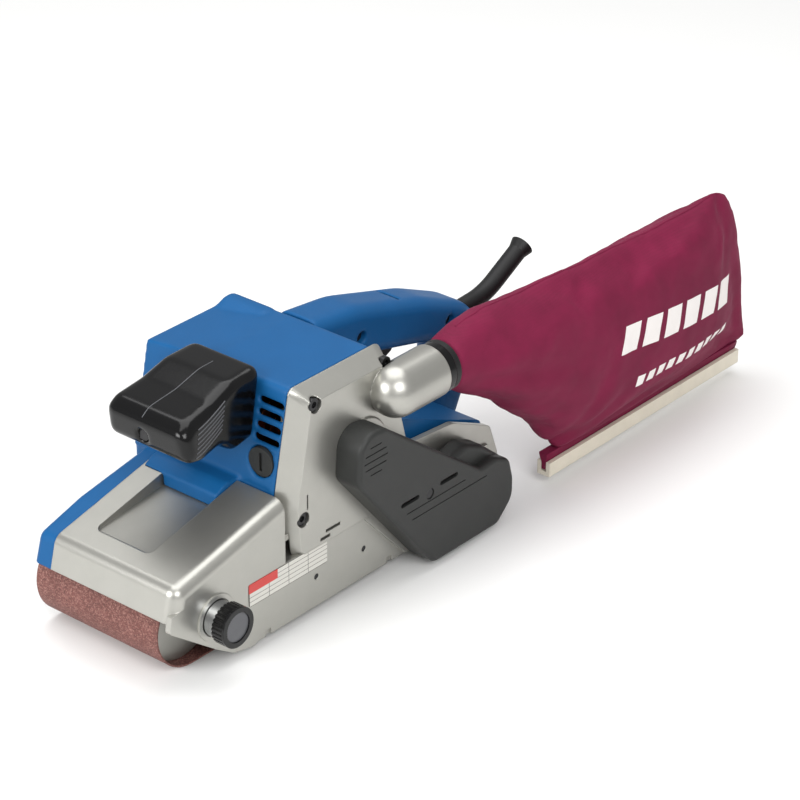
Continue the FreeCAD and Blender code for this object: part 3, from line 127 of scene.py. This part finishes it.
# colour, roughness, mottle, grain, edge radius, wear and other shader settings, as makeFinish takes them
finishTable = {
    # aluminium die casting under silver lacquer: soft metallic grey with a faint orange peel
    "silverLacquer": ("ACABA5", 0.34, (14, 0.02), (0.9, 0.03), 0.9, 0.4, {"Metallic": 0.85}),
    # glass-filled nylon, spark-eroded mould: satin blue with a fine sandy grain
    "blueNylon": ("0F5083", 0.45, (20, 0.03), (0.45, 0.05), 0.9, 0.12, {"Specular IOR Level": 0.2}),
    # ABS moulding in black, matt texture, scuffed to grey where hands rub it
    "blackAbs": ("262726", 0.5, (12, 0.06), (0.4, 0.05), 0.7, 0.15, {"Specular IOR Level": 0.35}),
    # glossy black moulding of the grip and knob: deep black with clean highlights
    "glossBlack": ("070708", 0.16, (16, 0.05), (1.4, 0.012), 0.8, 0.1, {"Specular IOR Level": 0.3}),
    # moulded rubber: dull black, a little dusty
    "blackRubber": ("101011", 0.5, (7, 0.09), (0.35, 0.05), 0.5, 0.15, {"Specular IOR Level": 0.35}),
    # turned bearing and shaft steel: bright, a little smeared with oil
    "turnedSteel": ("B4B6B9", 0.24, (5, 0.05), (0.3, 0.01), 0.3, 0.2, {"Metallic": 1.0}),
    # zinc-plated pressed steel: cool grey with a soft cloud
    "platedSteel": ("A9ABAD", 0.34, (6, 0.07), (0.4, 0.02), 0.3, 0.3, {"Metallic": 1.0}),
    # blackened screw steel: dark oxide with worn edges
    "oxideSteel": ("3A3A3B", 0.32, (3, 0.1), (0.3, 0.03), 0.3, 0.5, {"Metallic": 0.9}),
    # cork sheet: warm brown granules
    "corkSheet": ("A67B4E", 0.8, (2.2, 0.16), (1.2, 0.15), 0.3),
    # graphite-coated cloth: grey-black with a soft metal sheen
    "graphiteCloth": ("36373A", 0.4, (4, 0.08), (0.6, 0.05), 0.2, 0.0, {"Metallic": 0.35}),
    # enamelled copper wire
    "copperWire": ("B4633A", 0.3, (3, 0.1), (0.8, 0.2), 0.3, 0.0, {"Metallic": 1.0}),
    # machined brass
    "brassTurned": ("C39B52", 0.26, (4, 0.06), (0.4, 0.02), 0.3, 0.2, {"Metallic": 1.0}),
    # stacked silicon-steel laminations: dark, slightly rusty at the cut edges
    "laminations": ("5C5A58", 0.45, (1.2, 0.1), (0.5, 0.1), 0.2, 0.2, {"Metallic": 0.8}),
    # cream polypropylene of the bag rail
    "creamPlastic": ("D6CFBE", 0.4, (10, 0.03), (0.6, 0.02), 0.8, 0.1),
    # grey nylon: the knob's insert; on the grip's seam and raised lines this grey is a painted highlight
    # that stands in for the light they catch on the black moulding
    "greyNylon": ("4B4C50", 0.35, (6, 0.05), (0.5, 0.03), 0.4, 0.15),
    # the studio floor: very pale, with hardly any pattern
    "paleFloor": ("E9E9E8", 0.7, (300, 0.004), (4, 0.01), 0.5),
}
finishes = {name: makeFinish(name, *values) for name, values in finishTable.items()}


# grain, cloud and height are in mm; the tones go from dark to light
grit = {"grain": 0.75, "cloud": 14, "height": 0.25, "tones": ("3B2320", "6B3F39", "A47A70"),
        "resin": "6E4039"}


def makeGrit():
    # aluminium oxide grit bonded on brown cloth: rusty red-brown with lighter and darker grains about 0.3 mm
    # across, drawn at 0.75 mm so that they show
    material, tree, bsdf, spot = newMaterial("gritCloth")
    grains = addNode(tree, "TexVoronoi", {"Vector": spot, "Scale": 1 / (grit["grain"] * mm),
                                          "Randomness": 1.0})
    cloud = addNode(tree, "TexNoise", {"Vector": spot, "Scale": 1 / (grit["cloud"] * mm), "Detail": 5.0})
    specks = addNode(tree, "ValToRGB", {"Fac": grains.outputs["Color"]})
    dark, middling, light = (hexColour(tone) for tone in grit["tones"])
    specks.color_ramp.elements[0].color = dark
    specks.color_ramp.elements[1].color = light
    specks.color_ramp.elements.new(0.5).color = middling
    bonded = addNode(tree, "Mix", {0: 0.3, 6: specks.outputs["Color"], 7: hexColour(grit["resin"])},
                     data_type="RGBA")
    shade = addNode(tree, "MapRange", {"Value": cloud.outputs["Fac"], "To Min": 0.8, "To Max": 1.2})
    tone = addNode(tree, "VectorMath", {0: bonded.outputs[2], "Scale": shade.outputs[0]}, operation="SCALE")
    tree.links.new(tone.outputs[0], bsdf.inputs["Base Color"])
    bump = addNode(tree, "Bump", {"Height": grains.outputs["Distance"], "Distance": grit["height"] * mm,
                                  "Strength": 0.7}, invert=True)
    tree.links.new(bump.outputs[0], bsdf.inputs["Normal"])
    bsdf.inputs["Roughness"].default_value = 0.72
    return material


# plain blocks printed on the bag, standing in for its lettering: each row's ends, half height, spacing,
# gap share and slant, in mm; they show only where the cloth is further out than face
printing = {"face": -84, "ink": "E6E2DF", "rows": [
    {"x": (234, 372), "z": (99, 83), "half": 9.5, "step": 23, "gap": 0.26, "slant": 0.3},
    {"x": (252, 366), "z": (62, 54), "half": 3.6, "step": 11.8, "gap": 0.35, "slant": 0.3}]}


def printMask(tree, spot):
    # 1 inside the printed blocks on the face that looks to -Y, 0 elsewhere
    axes = addNode(tree, "SeparateXYZ", {0: spot})
    values = {"x": axes.outputs[0], "y": axes.outputs[1], "z": axes.outputs[2]}
    steps = [("near", "LESS_THAN", "y", printing["face"] * mm)]
    for i, row in enumerate(printing["rows"]):
        (x0, x1), (z0, z1) = row["x"], row["z"]
        slope = (z1 - z0) / (x1 - x0)
        steps += [
            ("rise", "MULTIPLY", "x", slope), ("line", "ADD", "rise", (z0 - slope * x0) * mm),
            ("off", "SUBTRACT", "z", "line"),
            ("under", "LESS_THAN", "off", row["half"] * mm),
            ("over", "GREATER_THAN", "off", -row["half"] * mm),
            ("lean", "MULTIPLY", "off", row["slant"]), ("upright", "SUBTRACT", "x", "lean"),
            ("across", "SUBTRACT", "upright", x0 * mm),
            ("begun", "GREATER_THAN", "across", 0), ("ending", "LESS_THAN", "across", (x1 - x0) * mm),
            ("count", "DIVIDE", "across", row["step"] * mm), ("part", "FRACT", "count", 0),
            ("block", "LESS_THAN", "part", 1 - row["gap"]),
            ("tall", "MULTIPLY", "under", "over"), ("long", "MULTIPLY", "begun", "ending"),
            ("field", "MULTIPLY", "tall", "long"), (f"row{i}", "MULTIPLY", "block", "field")]
    steps += [("rows", "ADD", "row0", "row1"), ("mask", "MULTIPLY", "rows", "near")]
    for name, operation, first, second in steps:
        inputs = {0: values.get(first, first), 1: values.get(second, second)}
        values[name] = addNode(tree, "Math", inputs, operation=operation).outputs[0]
    return values["mask"]


# scale, height and cloud are in mm; threads is the threads' share of the colour, and the rest is cloud
weave = {"dark": "4A0822", "light": "80163F", "scale": 0.6, "height": 0.08, "cloud": 30, "threads": 0.15,
         "sheen": 0.1, "sheenTint": "B04070"}


def makeWeave():
    # closely woven polyester cloth with pale screen-printed blocks; the threads are drawn coarser than the
    # cloth's own so that they show
    material, tree, bsdf, spot = newMaterial("bagCloth")
    pitch = 1 / (weave["scale"] * mm * math.tau)
    threads = [addNode(tree, "TexWave", {"Vector": spot, "Scale": pitch, "Distortion": 0.6, "Detail": 1.0},
                       bands_direction=way).outputs["Fac"] for way in "XZ"]
    cross = addNode(tree, "Math", {0: threads[0], 1: threads[1]}, operation="MAXIMUM").outputs[0]
    cloud = addNode(tree, "TexNoise", {"Vector": spot, "Scale": 1 / (weave["cloud"] * mm), "Detail": 6.0,
                                       "Roughness": 0.6})
    woven = addNode(tree, "Math", {0: cross, 1: weave["threads"]}, operation="MULTIPLY").outputs[0]
    cloudy = addNode(tree, "Math", {0: cloud.outputs["Fac"], 1: 1 - weave["threads"]}, operation="MULTIPLY")
    share = addNode(tree, "Math", {0: woven, 1: cloudy.outputs[0]}, operation="ADD").outputs[0]
    tone = addNode(tree, "Mix", {0: share, 6: hexColour(weave["dark"]), 7: hexColour(weave["light"])},
                   data_type="RGBA").outputs[2]
    ink = addNode(tree, "Mix", {0: printMask(tree, spot), 6: tone, 7: hexColour(printing["ink"])},
                  data_type="RGBA").outputs[2]
    tree.links.new(ink, bsdf.inputs["Base Color"])
    bump = addNode(tree, "Bump", {"Height": cross, "Distance": weave["height"] * mm, "Strength": 0.4})
    tree.links.new(bump.outputs[0], bsdf.inputs["Normal"])
    bsdf.inputs["Roughness"].default_value = 0.75
    bsdf.inputs["Specular IOR Level"].default_value = 0.25
    bsdf.inputs["Sheen Weight"].default_value = weave["sheen"]
    bsdf.inputs["Sheen Tint"].default_value = hexColour(weave["sheenTint"])
    return material


# the rating plate's lowest and highest corner, its red block's size, and the pitch and width of its
# ruled lines, all in mm
plate = {"low": (-79.5, 33), "high": (-10.5, 48), "red": (25, 6), "rows": (3, 0.35), "columns": (17.25, 0.4)}


def makePlate():
    # printed aluminium foil: a red block and empty ruled boxes on silver
    material, tree, bsdf, spot = newMaterial("printedFoil")
    axes = addNode(tree, "SeparateXYZ", {"Vector": spot}).outputs
    values = {"x": axes["X"], "z": axes["Z"]}
    steps = []
    for name, axis, start in (("rows", "z", plate["low"][1]), ("columns", "x", plate["low"][0])):
        pitch, wide = plate[name]
        steps += [("from", "SUBTRACT", axis, start * mm), ("wrap", "MODULO", "from", pitch * mm),
                  (name, "LESS_THAN", "wrap", wide * mm)]
    steps += [("lines", "MAXIMUM", "rows", "columns"),
              ("left", "LESS_THAN", "x", (plate["low"][0] + plate["red"][0]) * mm),
              ("top", "GREATER_THAN", "z", (plate["high"][1] - plate["red"][1]) * mm),
              ("red", "MULTIPLY", "left", "top")]
    for name, operation, first, second in steps:
        inputs = {0: values.get(first, first), 1: values.get(second, second)}
        values[name] = addNode(tree, "Math", inputs, operation=operation).outputs[0]
    ruled = addNode(tree, "Mix", {0: values["lines"], 6: hexColour("CBC9C2"), 7: hexColour("55544F")},
                    data_type="RGBA").outputs[2]
    tone = addNode(tree, "Mix", {0: values["red"], 6: ruled, 7: hexColour("C2403C")},
                   data_type="RGBA").outputs[2]
    tree.links.new(tone, bsdf.inputs["Base Color"])
    cloud = addNode(tree, "TexNoise", {"Vector": spot, "Scale": 1 / (3 * mm), "Detail": 3.0})
    rough = addNode(tree, "MapRange", {"Value": cloud.outputs["Fac"], "To Min": 0.3, "To Max": 0.5})
    tree.links.new(rough.outputs[0], bsdf.inputs["Roughness"])
    bsdf.inputs["Metallic"].default_value = 0.2
    return material


finishes["gritCloth"] = makeGrit()
finishes["bagCloth"] = makeWeave()
finishes["printedFoil"] = makePlate()
print("finishes ready")

nodeFinish = {
    "silverLacquer": ["frame_casting", "gear_cover", "bearing_plate", "roller_guard", "idler_roller"],
    "blueNylon": ["motor_housing", "right_side_cover", "rear_housing", "handle_left", "handle_right"],
    "blackAbs": ["timing_cover", "brush_caps", "switch_body", "trigger", "speed_dial", "cooling_fan"],
    "glossBlack": ["grip_left", "grip_right", "tracking_knob", "dust_collar", "lock_button"],
    "blackRubber": ["timing_belt", "drive_roller_sleeve", "cord_guard", "bag_neck_ring", "speed_module"],
    "turnedSteel": ["idler_shaft", "drive_shaft", "jackshaft", "armature_shaft", "tracking_screw",
                    "lever_pin", "roller_bearings", "motor_bearings", "tension_spring", "tracking_spring"],
    "platedSteel": ["platen_plate", "tension_lever", "reduction_gear", "drive_roller_core", "small_pulley",
                    "big_pulley", "tension_yoke"],
    "oxideSteel": ["casing_screws", "grip_screws"],
    "corkSheet": ["cork_pad"],
    "graphiteCloth": ["graphite_sheet", "carbon_brushes"],
    "copperWire": ["armature_windings", "field_windings"],
    "brassTurned": ["idler_bush", "brush_holders", "commutator"],
    "laminations": ["armature_core", "field_core"],
    "creamPlastic": ["bag_rail"],
    "greyNylon": ["knob_disc"],
    "gritCloth": ["sanding_belt"],
    "printedFoil": ["rating_plate"],
    "bagCloth": ["dust_bag"],
}
for finish, members in nodeFinish.items():
    for name in members:
        for slot in nodes[name].material_slots:
            slot.material = finishes[finish]
print("CAD nodes finished:", sum(len(m) for m in nodeFinish.values()))


def newPiece(name, mesh, finish, body):
    piece = bpy.data.objects.new(name, mesh)
    bpy.context.scene.collection.objects.link(piece)
    mesh.materials.clear()
    mesh.materials.append(finishes[finish])
    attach(piece, body)
    return piece


def selectOnly(piece):
    bpy.ops.object.select_all(action="DESELECT")
    piece.select_set(True)
    bpy.context.view_layer.objects.active = piece


def applyAll(piece):
    selectOnly(piece)
    for modifier in list(piece.modifiers):
        bpy.ops.object.modifier_apply(modifier=modifier.name)


def mergedCopy(members):
    # one mesh made of copies of CAD nodes, their loose triangles joined
    joined = bmesh.new()
    for name in members:
        joined.from_mesh(nodes[name].data)
    bmesh.ops.remove_doubles(joined, verts=joined.verts, dist=0.002 * mm)
    mesh = bpy.data.meshes.new("_".join(members))
    joined.to_mesh(mesh)
    joined.free()
    return mesh


def smoothStep(value, low, high):
    # 0 below low, 1 above high, with an even start and end between them
    share = max(0, min(1, (value - low) / (high - low)))
    return share * share * (3 - 2 * share)


# mouldings with soft corners, worked from the CAD's own shapes
mouldings = {
    "motorShell": {"from": ["motor_housing"], "finish": "blueNylon", "voxel": 1.3, "rounds": 6},
    "handleShell": {"from": ["handle_left", "handle_right"], "finish": "blueNylon", "voxel": 1.3,
                    "rounds": 8},
    "frontGrip": {"from": ["grip_left", "grip_right"], "finish": "glossBlack", "voxel": 1.1, "rounds": 14},
}
for name, spec in mouldings.items():
    shell = newPiece(name, mergedCopy(spec["from"]), spec["finish"], "housing")
    remesh = shell.modifiers.new("even", "REMESH")
    remesh.mode = "VOXEL"
    remesh.voxel_size = spec["voxel"] * mm
    soft = shell.modifiers.new("soft", "SMOOTH")
    soft.factor = 0.5
    soft.iterations = spec["rounds"]
    applyAll(shell)
    bpy.ops.object.shade_smooth()
    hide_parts(*spec["from"])
    print(name, len(shell.data.polygons), "faces")


# fine raised lines
def bead(name, path, radius, finish, body):
    # a thin round line along a path of points in metres
    curve = bpy.data.curves.new(name, "CURVE")
    curve.dimensions = "3D"
    curve.bevel_depth = radius * mm
    curve.bevel_resolution = 2
    curve.use_fill_caps = True
    spline = curve.splines.new("NURBS")
    spline.points.add(len(path) - 1)
    for point, at in zip(spline.points, path):
        point.co = (*at, 1)
    spline.order_u = 3
    spline.use_endpoint_u = True
    holder = bpy.data.objects.new(name, curve)
    bpy.context.scene.collection.objects.link(holder)
    mesh = bpy.data.meshes.new_from_object(holder.evaluated_get(bpy.context.evaluated_depsgraph_get()))
    bpy.data.objects.remove(holder)
    line = newPiece(name, mesh, finish, body)
    selectOnly(line)
    bpy.ops.object.shade_smooth()
    return line


def onSurface(shell, starts, aim, sink):
    # where lines of sight from starts along aim meet the shell, moved sink mm past its surface
    tree = BVHTree.FromObject(shell, bpy.context.evaluated_depsgraph_get())
    found = []
    for start in starts:
        hit = tree.ray_cast(Vector(start), Vector(aim))[0]
        if hit:
            found.append(hit + Vector(aim) * sink * mm)
    return found


grip = {"seam": -12, "ribs": 7, "nose": -106, "back": -44, "low": 130, "high": 165,
        # how far the near side moves in, mm: top at the nose and back, bottom at the nose and back
        "top": (2, 6), "bottom": (-6.5, 5), "side": (12, 40),
        # the raised lines, mm: their radii, where the first rib starts in x and z, how far each next one
        # is moved, how far a rib runs and how it rises, straight and curved
        "seamRadius": 0.35, "ribRadius": 0.4, "ribFrom": (-92, 148.5), "ribStep": (1, 2.5), "ribRun": 27,
        "ribRise": (3, 3.4), "ribParts": 8}
shell = bpy.data.objects["frontGrip"]
for vertex in shell.data.vertices:
    side = smoothStep(-vertex.co.y, grip["side"][0] * mm, grip["side"][1] * mm)
    along = max(0, min(1, (vertex.co.x / mm - grip["nose"]) / (grip["back"] - grip["nose"])))
    down = max(0, min(1, (grip["high"] - vertex.co.z / mm) / (grip["high"] - grip["low"])))
    top, bottom = (near + (far - near) * along for near, far in (grip["top"], grip["bottom"]))
    vertex.co.y += (top * (1 - down) + bottom * down) * side * mm
shell.data.update()
# the seam and the ribs below get a grey finish: a painted highlight in place of the light these raised lines
# of the black grip catch
seam = onSurface(shell, [(x * mm, grip["seam"] * mm, 0.2) for x in range(-104, -42, 2)], (0, 0, -1), 0)
bead("gripSeam", seam, grip["seamRadius"], "greyNylon", "housing")
for i in range(grip["ribs"]):
    spots = []
    for step in range(grip["ribParts"] + 1):
        share = step / grip["ribParts"]
        x = grip["ribFrom"][0] - grip["ribStep"][0] * i + share * grip["ribRun"]
        z = grip["ribFrom"][1] - grip["ribStep"][1] * i + share * grip["ribRise"][0]
        z += grip["ribRise"][1] * share * share
        spots.append((x * mm, -0.1, z * mm))
    bead("gripRib_%d" % i, onSurface(shell, spots, (0, 1, 0), 0), grip["ribRadius"], "greyNylon", "housing")
print("grip lines ready")

# dust bag
bag = {"y": -78, "voxel": 4, "around": 40, "pressure": 4, "quality": 6, "frames": 20, "cap": 6,
       # x, lowest z, highest z, half width, all in mm
       "rings": [(87, 115, 147, 16), (94, 111, 150, 16.5), (104, 103, 154, 18),
                 (122, 89, 157, 21), (150, 66, 158, 23), (178, 44, 158, 24),
                 (192, 30, 157.5, 24), (204, 23, 157, 24), (230, 20.5, 155.5, 24.5),
                 (270, 20.5, 153.5, 24.5), (310, 20.5, 152, 23), (345, 20.5, 151, 19),
                 (362, 20.5, 151, 15.5), (374, 20.5, 151, 12.5), (386, 20.5, 144, 10.5),
                 (394, 20.5, 128, 9), (399, 21, 102, 8), (404, 21, 70, 7),
                 (409, 21, 42, 6)]}


def bagBody():
    # a lofted shell: fuller below the middle, drawn in to a ridge along the top and to the hem at the bottom
    around, shell = bag["around"], bmesh.new()
    loops = []
    for x, low, high, half in bag["rings"]:
        loop = []
        drawn = max(0, min(1, (x - 95) / 60))
        for i in range(around):
            a = 2 * math.pi * i / around
            side, rise = math.sin(a), -math.cos(a)
            pinch = 1 - drawn * (0.4 * max(0, -rise) ** 3 + 0.35 * max(0, rise) ** 5)
            middle = (low + high) / 2 - drawn * 4 * (1 - rise * rise)
            loop.append(shell.verts.new((x * mm, (bag["y"] + half * side * pinch) * mm,
                                         (middle + (high - low) / 2 * rise) * mm)))
        loops.append(loop)
    for first, second in zip(loops, loops[1:]):
        for i in range(around):
            j = (i + 1) % around
            shell.faces.new((first[i], first[j], second[j], second[i]))
    shell.faces.new(list(reversed(loops[0])))
    shell.faces.new(loops[-1])
    bmesh.ops.recalc_face_normals(shell, faces=shell.faces)
    mesh = bpy.data.meshes.new("dustBag")
    shell.to_mesh(mesh)
    shell.free()
    return mesh


body = newPiece("bagCloth", bagBody(), "bagCloth", "bag")
remesh = body.modifiers.new("even", "REMESH")
remesh.mode = "VOXEL"
remesh.voxel_size = bag["voxel"] * mm
applyAll(body)
before = [v.co.copy() for v in body.data.vertices]
cloth = body.modifiers.new("cloth", "CLOTH")
cloth.settings.use_pressure = True
cloth.settings.uniform_pressure_force = bag["pressure"]
cloth.settings.effector_weights.gravity = 0
cloth.settings.quality = bag["quality"]
scene = bpy.context.scene
for frameNumber in range(1, bag["frames"] + 1):
    scene.frame_set(frameNumber)
settled = body.evaluated_get(bpy.context.evaluated_depsgraph_get())
after = [v.co.copy() for v in settled.data.vertices]
body.modifiers.remove(cloth)
scene.frame_set(1)
for vertex, start, end in zip(body.data.vertices, before, after):
    step = end - start
    free = smoothStep(start.x, 95 * mm, 140 * mm) * (1 - 0.8 * smoothStep(start.x, 350 * mm, 398 * mm))
    free *= smoothStep(start.z, 24 * mm, 60 * mm)
    most = bag["cap"] * mm * free
    if step.length > most:
        step *= most / step.length
    vertex.co = start + step

# folds that run from the neck and from the two ends of the hem: from, to, width and depth in mm
folds = [((88, 122), (205, 98), 7, 2.4), ((88, 140), (190, 140), 8, 1.6), ((92, 112), (180, 70), 6, 2.0),
         ((190, 26), (262, 72), 7, 2.4), ((192, 24), (232, 112), 8, 1.8), ((205, 22), (330, 40), 5, 2.2),
         ((398, 30), (366, 118), 6, 1.8), ((401, 24), (330, 62), 6, 2.0), ((372, 140), (352, 82), 6, 1.4)]
fine = body.modifiers.new("fine", "SUBSURF")
fine.levels = fine.render_levels = 1
applyAll(body)
normals = [vertex.normal.copy() for vertex in body.data.vertices]
for vertex, outward in zip(body.data.vertices, normals):
    x, z = vertex.co.x / mm, vertex.co.z / mm
    push = 0.9 * noise.noise((x / 38, z / 30, 4.0)) + 0.45 * noise.noise((x / 12, z / 9, 1.0))
    for (x0, z0), (x1, z1), wide, deep in folds:
        along = Vector((x1 - x0, z1 - z0))
        reach = Vector((x - x0, z - z0)).dot(along) / along.length_squared
        if -0.1 < reach < 1.1:
            off = Vector((x - x0, z - z0)).cross(along.normalized())
            fade = smoothStep(reach, -0.1, 0.15) * (1 - smoothStep(reach, 0.35, 1.1))
            valley = math.exp(-(off / wide) ** 2)
            swell = math.exp(-((off - wide * 1.5) / wide) ** 2)
            push -= deep * fade * (valley - 0.6 * swell)
    free = smoothStep(x, 90, 120) * (1 - smoothStep(x, 392, 404)) * smoothStep(z, 21, 32)
    vertex.co += outward * push * free * mm
selectOnly(body)
bpy.ops.object.shade_smooth()
ridge = onSurface(body, [(x * mm, bag["y"] * mm, 0.25) for x in range(100, 384, 6)], (0, 0, -1), 0.3)
edge = onSurface(body, [(0.5, bag["y"] * mm, z * mm) for z in range(140, 30, -5)], (-1, 0, 0), 0.3)
bead("bagSeam", ridge + edge, 0.9, "bagCloth", "bag")
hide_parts("dust_bag")
print("dust bag", len(body.data.polygons), "faces")

# the hem that the rail grips: a strip from the bag's underside into the rail's slot
hem = {"x": (192, 404), "z": (12.5, 24), "half": 1.5}
bpy.ops.mesh.primitive_cube_add(size=1, location=((hem["x"][0] + hem["x"][1]) / 2 * mm, bag["y"] * mm,
                                                  (hem["z"][0] + hem["z"][1]) / 2 * mm))
strip = bpy.context.object
strip.scale = ((hem["x"][1] - hem["x"][0]) * mm, 2 * hem["half"] * mm, (hem["z"][1] - hem["z"][0]) * mm)
bpy.ops.object.transform_apply(location=True, rotation=True, scale=True)
bpy.ops.object.mode_set(mode="EDIT")
bpy.ops.mesh.select_all(action="SELECT")
bpy.ops.mesh.subdivide(number_cuts=24)
bpy.ops.object.mode_set(mode="OBJECT")
for vertex in strip.data.vertices:
    x, z = vertex.co.x / mm, vertex.co.z / mm
    spread = smoothStep(z, 16, 24)
    wave = 1.0 * noise.noise((x / 9, z / 14, 7.0)) * spread
    vertex.co.y += (wave + (vertex.co.y / mm - bag["y"]) * 1.2 * spread) * mm
strip.name = "bagHem"
strip.data.materials.append(finishes["bagCloth"])
selectOnly(strip)
bpy.ops.object.shade_smooth()
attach(strip, "bag")
print("hem ready")


# studio
bpy.context.scene.view_settings.view_transform = "Standard"
# each light is its place and size in metres and its power in watts; all of them look at aim
studio = {"aim": (0.05, -0.02, 0.08), "world": 0.5,
          "lights": {"key": ((-0.75, -1.45, 1.35), 1.0, 24), "left": ((-1.7, 0.35, 0.9), 0.9, 26),
                     "top": ((0.25, 0.2, 1.7), 1.6, 22)}}
bpy.ops.mesh.primitive_plane_add(size=14, location=(0, 0, -0.0005))
floor = bpy.context.object
floor.name = "floor"
floor.data.materials.append(finishes["paleFloor"])
world = bpy.data.worlds.new("studio")
world.use_nodes = True
world.node_tree.nodes["Background"].inputs["Color"].default_value = hexColour("FFFFFF")
world.node_tree.nodes["Background"].inputs["Strength"].default_value = studio["world"]
bpy.context.scene.world = world
for name, (at, size, power) in studio["lights"].items():
    lamp = bpy.data.lights.new(name, "AREA")
    lamp.size = size
    lamp.energy = power
    holder = bpy.data.objects.new(name, lamp)
    holder.location = at
    holder.rotation_euler = (Vector(at) - Vector(studio["aim"])).to_track_quat("Z", "Y").to_euler()
    bpy.context.scene.collection.objects.link(holder)
print("studio ready")
